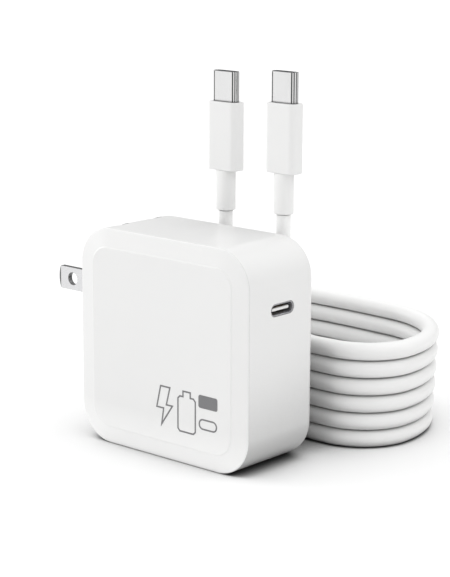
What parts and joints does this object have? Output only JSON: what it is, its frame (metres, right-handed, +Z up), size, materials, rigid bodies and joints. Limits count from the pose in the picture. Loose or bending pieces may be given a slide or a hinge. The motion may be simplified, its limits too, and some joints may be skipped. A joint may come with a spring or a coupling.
{
  "type": "laptop power adapter",
  "caption": "Square white wall charger with a fold-away two-blade mains plug, a side USB-C socket and a coiled lead with a USB-C plug at each end.",
  "frame": {"origin": "centre of the charger's base, on the surface it stands on", "axes": "+Z up, -Y out of the front panel, +X out of the socket side, -X along the prongs"},
  "size_m": [0.0931, 0.0897, 0.1023],
  "materials": {
    "cover_plastic": "satin white polycarbonate",
    "case_plastic": "satin white polycarbonate",
    "cradle_plastic": "satin white polycarbonate",
    "rotor_plastic": "satin white polycarbonate",
    "blade_nickel": "bright nickel plate",
    "spring_steel": "sprung steel",
    "bronze": "phosphor bronze",
    "wire_black": "insulated wire",
    "wire_white": "insulated wire",
    "socket_steel": "bright nickel plate",
    "black_plastic": "moulded black plastic",
    "tongue_plastic": "moulded white plastic",
    "board_laminate": "green solder mask on glass laminate",
    "insulation_paper": "fish paper",
    "aluminium": "drawn aluminium",
    "copper": "copper",
    "pad_silicone": "filled silicone",
    "green_ceramic": "dipped ceramic",
    "yellow_plastic": "moulded box",
    "ferrite": "sintered ferrite",
    "amber_tape": "polyimide tape",
    "blue_ceramic": "dipped ceramic",
    "cable_jacket": "white jacket",
    "relief_rubber": "soft white overmould",
    "boot_plastic": "satin white overmould",
    "plug_steel": "bright nickel plate",
    "print_grey": "grey pad print"
  },
  "bodies": {
    "case": {"front_cover": "cover_plastic", "rear_housing": "case_plastic", "prong_cradle": "cradle_plastic", "detent_spring": "spring_steel", "contact_spring_front": "bronze", "contact_spring_rear": "bronze", "ac_wire_front": "wire_black", "ac_wire_rear": "wire_white", "usb_shell": "socket_steel", "usb_base": "black_plastic", "usb_tongue": "tongue_plastic", "port_board": "board_laminate", "main_board": "board_laminate", "insulation_sheet": "insulation_paper", "heat_spreader_rear": "aluminium", "heat_spreader_front": "copper", "thermal_pad": "pad_silicone", "fuse": "black_plastic", "thermistor": "green_ceramic", "x_capacitor": "yellow_plastic", "bridge_rectifier": "black_plastic", "line_inductor": "ferrite", "bulk_capacitor_1": "aluminium", "bulk_capacitor_2": "aluminium", "bulk_capacitor_3": "aluminium", "gan_switch": "black_plastic", "primary_controller": "black_plastic", "choke_core": "ferrite", "choke_winding_lower": "copper", "choke_winding_upper": "copper", "transformer_core_front": "ferrite", "transformer_core_rear": "ferrite", "transformer_bobbin": "black_plastic", "transformer_winding": "copper", "transformer_tape": "amber_tape", "y_capacitor": "blue_ceramic", "optocoupler": "black_plastic", "sync_rectifier": "black_plastic", "output_capacitor_1": "aluminium", "output_capacitor_2": "aluminium", "pd_controller": "black_plastic", "cable_coil": "cable_jacket", "cable_lead_a": "cable_jacket", "cable_lead_b": "cable_jacket", "plug_a_relief": "relief_rubber", "plug_a_boot": "boot_plastic", "plug_a_shell": "plug_steel", "plug_a_insert": "black_plastic", "plug_b_relief": "relief_rubber", "plug_b_boot": "boot_plastic", "plug_b_shell": "plug_steel", "plug_b_insert": "black_plastic", "printed_bolt": "print_grey", "printed_battery": "print_grey", "printed_tag": "print_grey", "printed_port": "print_grey"},
    "prongs": {"prong_rotor": "rotor_plastic", "prong_front": "blade_nickel", "prong_rear": "blade_nickel"}
  },
  "joints": [
    {"name": "prong_fold", "type": "hinge", "parent": "case", "child": "prongs", "pos_m": [-0.0283, 0, 0.0405], "axis": [0, 1, 0], "range_deg": [0, 90]}
  ]
}
